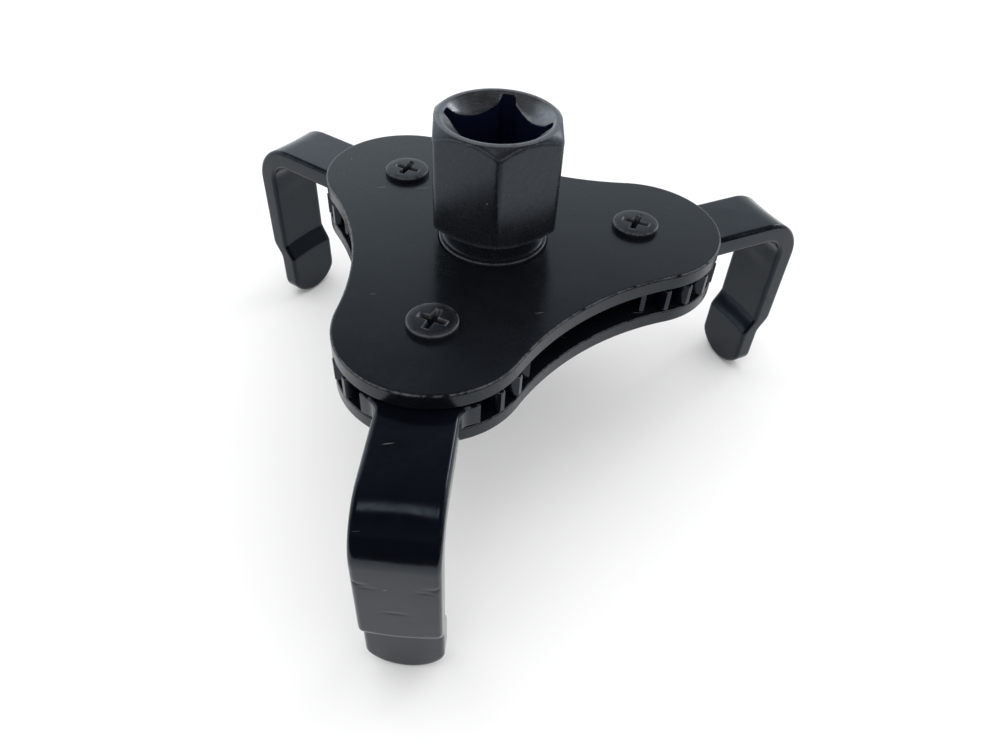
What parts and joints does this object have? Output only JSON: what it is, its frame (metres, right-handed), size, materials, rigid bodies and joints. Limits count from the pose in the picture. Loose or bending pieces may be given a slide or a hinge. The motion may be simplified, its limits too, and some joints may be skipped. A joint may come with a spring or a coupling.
{
  "type": "oil filter wrench",
  "caption": "Two-way oil filter wrench: a hexagonal hub with a square drive socket turns a gear that swings hooked jaws in from a lobed plate pair.",
  "frame": {"origin": "on the hub's axis, in the plane of the three jaw tips, where the oil filter enters", "axes": "+Z along the hub's axis, from the jaw tips towards the drive socket; +X through the pivot of jaw 1"},
  "size_m": [0.1098, 0.1156, 0.0669],
  "materials": {
    "plate_black": "satin black paint, edges worn to a paler grey",
    "jaw_black": "semi-gloss black paint",
    "hub_black": "black oxide on turned and milled steel, with a bright machined mouth",
    "gear_black": "black oxide, oiled",
    "screw_black": "black oxide, worn bright at the recess",
    "hardware_black": "black oxide",
    "sleeve_steel": "turned steel, oiled"
  },
  "bodies": {
    "plates": {"top_plate": "plate_black", "bottom_plate": "plate_black", "pivot_screw_1": "screw_black", "pivot_screw_2": "screw_black", "pivot_screw_3": "screw_black", "pivot_sleeve_1": "sleeve_steel", "pivot_sleeve_2": "sleeve_steel", "pivot_sleeve_3": "sleeve_steel", "spring_washer_1": "hardware_black", "spring_washer_2": "hardware_black", "spring_washer_3": "hardware_black", "lock_nut_1": "hardware_black", "lock_nut_2": "hardware_black", "lock_nut_3": "hardware_black"},
    "hub": {"drive_hub": "hub_black", "drive_pinion": "gear_black", "thrust_washer": "hardware_black", "retaining_ring": "hardware_black"},
    "jaw_1": {"jaw_1": "jaw_black"},
    "jaw_2": {"jaw_2": "jaw_black"},
    "jaw_3": {"jaw_3": "jaw_black"}
  },
  "joints": [
    {"name": "hub_turn", "type": "hinge", "parent": "plates", "child": "hub", "pos_m": [0, 0, 0.0388], "axis": [0, 0, 1], "range_deg": [-122, 160]},
    {"name": "jaw_1_swing", "type": "hinge", "parent": "plates", "child": "jaw_1", "pos_m": [0.027, 0, 0.0388], "axis": [0, 0, 1], "range_deg": [-131.1, 100]},
    {"name": "jaw_2_swing", "type": "hinge", "parent": "plates", "child": "jaw_2", "pos_m": [-0.0135, 0.02338, 0.0388], "axis": [0, 0, 1], "range_deg": [-131.1, 100]},
    {"name": "jaw_3_swing", "type": "hinge", "parent": "plates", "child": "jaw_3", "pos_m": [-0.0135, -0.02338, 0.0388], "axis": [0, 0, 1], "range_deg": [-131.1, 100]}
  ],
  "couplings": [
    {"joint": "jaw_1_swing", "follows": "hub_turn", "ratio": -0.81818},
    {"joint": "jaw_2_swing", "follows": "hub_turn", "ratio": -0.81818},
    {"joint": "jaw_3_swing", "follows": "hub_turn", "ratio": -0.81818}
  ]
}
